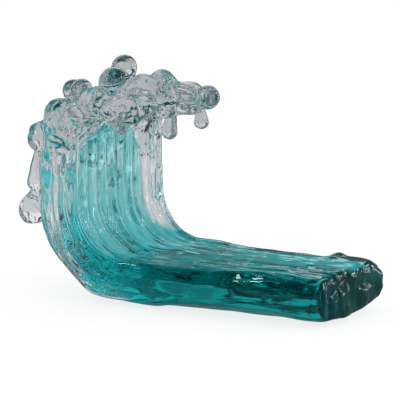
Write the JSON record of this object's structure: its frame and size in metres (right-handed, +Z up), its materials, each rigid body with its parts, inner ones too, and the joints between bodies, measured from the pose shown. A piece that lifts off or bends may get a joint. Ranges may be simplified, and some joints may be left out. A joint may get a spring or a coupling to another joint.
{
  "type": "glass wave sculpture",
  "caption": "Solid hot-worked glass wave: a ribbed teal face cased in clear glass rises from a flat tail and curls into a crest of fused foam drops.",
  "frame": {"origin": "on the ground foot at the middle of the sculpture's width, close to half way along its length", "axes": "+X out along the tail, -Y the near side in the picture, +Z up from the foot"},
  "size_m": [0.2975, 0.1413, 0.2018],
  "materials": {
    "clear_glass": "fire polished",
    "teal_glass": "fire polished"
  },
  "bodies": {
    "root": {"back_drop_far": "clear_glass", "back_drop_large": "clear_glass", "back_drop_small": "clear_glass", "back_middle_lump": "clear_glass", "back_shoulder_lump": "clear_glass", "clear_casing": "clear_glass", "crest_back_lump": "clear_glass", "crest_front_ball": "clear_glass", "crest_lip": "clear_glass", "crest_middle_lump": "clear_glass", "crest_top_ball": "clear_glass", "far_crest_lump": "clear_glass", "far_fold_lump": "clear_glass", "far_rim": "clear_glass", "far_shoulder_lump": "clear_glass", "lip_front_lump_far": "clear_glass", "lip_front_lump_middle": "clear_glass", "lip_front_lump_near": "clear_glass", "lip_long_drip": "clear_glass", "lip_near_drip": "clear_glass", "lip_tip_ball": "clear_glass", "lip_tip_drip": "clear_glass", "lip_top_lump": "clear_glass", "near_fold_back": "clear_glass", "near_fold_front": "clear_glass", "near_fold_middle": "clear_glass", "near_rim": "clear_glass", "near_shoulder_lump": "clear_glass", "shoulder_ball_back": "clear_glass", "shoulder_ball_near": "clear_glass", "teal_body": "teal_glass"}
  },
  "joints": []
}
